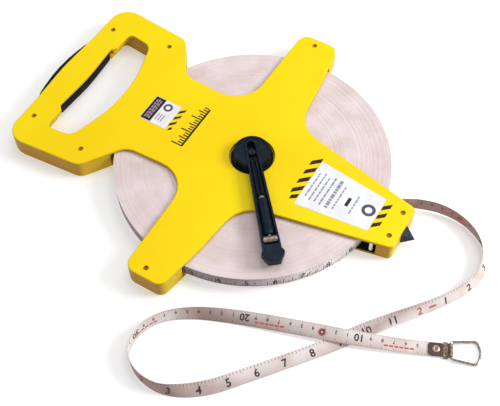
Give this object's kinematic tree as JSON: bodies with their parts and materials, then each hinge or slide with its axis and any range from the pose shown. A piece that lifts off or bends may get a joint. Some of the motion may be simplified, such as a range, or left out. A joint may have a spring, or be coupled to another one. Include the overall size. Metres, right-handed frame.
{
  "type": "surveyor tape reel",
  "caption": "Open-frame fibreglass measuring tape reel with a carrying handle, winding crank, ground spike and a drawn-out tape ending in a wire ring.",
  "frame": {"origin": "on the reel's axis at the rear face, the face the reel lies on", "axes": "+X from the carrying handle towards the tape mouth, +Z out of the front face, along the reel's axis"},
  "size_m": [0.5012, 0.3998, 0.0328],
  "materials": {
    "yellow_plastic": "moulded ABS, satin",
    "black_plastic": "moulded nylon, satin",
    "black_rubber": "soft grip, matt",
    "tape": "PVC-coated fibreglass, satin",
    "steel": "zinc plated",
    "yellowed_steel": "yellow passivated zinc",
    "black_steel": "black oxide",
    "bronze": "sintered bronze",
    "white_nylon": "satin",
    "label": "printed film",
    "brown_vinyl": "reinforced vinyl"
  },
  "bodies": {
    "frame": {"frame_front": "yellow_plastic", "frame_rear": "yellow_plastic", "handle_grip": "black_rubber", "ground_spike": "black_plastic", "frame_screw_1": "yellowed_steel", "frame_screw_2": "yellowed_steel", "frame_screw_3": "yellowed_steel", "frame_screw_4": "yellowed_steel", "frame_screw_5": "yellowed_steel", "frame_screw_6": "yellowed_steel", "frame_screw_7": "yellowed_steel", "frame_screw_8": "yellowed_steel", "label_mouth": "label", "label_handle": "label", "roller_pin_1": "steel", "roller_pin_2": "steel", "dust_seal": "black_rubber", "mouth_liner": "black_plastic", "guide_block": "black_plastic", "rear_bush": "bronze", "front_bush": "bronze", "rear_cap": "black_plastic", "tape_lead": "tape", "free_tape": "tape", "end_patch": "brown_vinyl", "ring_bracket": "steel", "end_eyelet": "steel"},
    "reel": {"axle": "steel", "drive_key": "steel", "reel_drum": "black_plastic", "anchor_clip": "steel", "tape_coil": "tape", "crank_hub": "black_plastic", "crank_arm": "black_plastic", "crank_washer": "black_steel", "crank_screw": "black_steel", "knob_hinge_pin": "steel", "knob_spring": "black_steel"},
    "knob": {"knob_spindle": "steel"},
    "knob_sleeve": {"knob_grip": "black_plastic"},
    "roller_1": {"guide_roller_1": "white_nylon"},
    "roller_2": {"guide_roller_2": "white_nylon"},
    "ring": {"end_ring": "steel"}
  },
  "joints": [
    {"name": "reel_spin", "type": "hinge", "parent": "frame", "child": "reel", "pos_m": [0, 0, 0.0105], "axis": [0, 0, 1], "continuous": true},
    {"name": "knob_fold", "type": "hinge", "parent": "reel", "child": "knob", "pos_m": [0.06462, -0.07566, 0.0284], "axis": [0.7604, 0.6494, 0], "range_deg": [0, 90]},
    {"name": "knob_spin", "type": "hinge", "parent": "knob", "child": "knob_sleeve", "pos_m": [0.06462, -0.07566, 0.0284], "axis": [0.6494, -0.7604, 0], "continuous": true},
    {"name": "roller_1_spin", "type": "hinge", "parent": "frame", "child": "roller_1", "pos_m": [0.1402, 0.025, 0.0105], "axis": [0, 0, 1], "continuous": true},
    {"name": "roller_2_spin", "type": "hinge", "parent": "frame", "child": "roller_2", "pos_m": [0.1402, -0.025, 0.0105], "axis": [0, 0, 1], "continuous": true},
    {"name": "ring_swing", "type": "hinge", "parent": "frame", "child": "ring", "pos_m": [0.24439, -0.07952, 0.0023], "axis": [0.4147, -0.91, 0], "range_deg": [0, 140]}
  ]
}
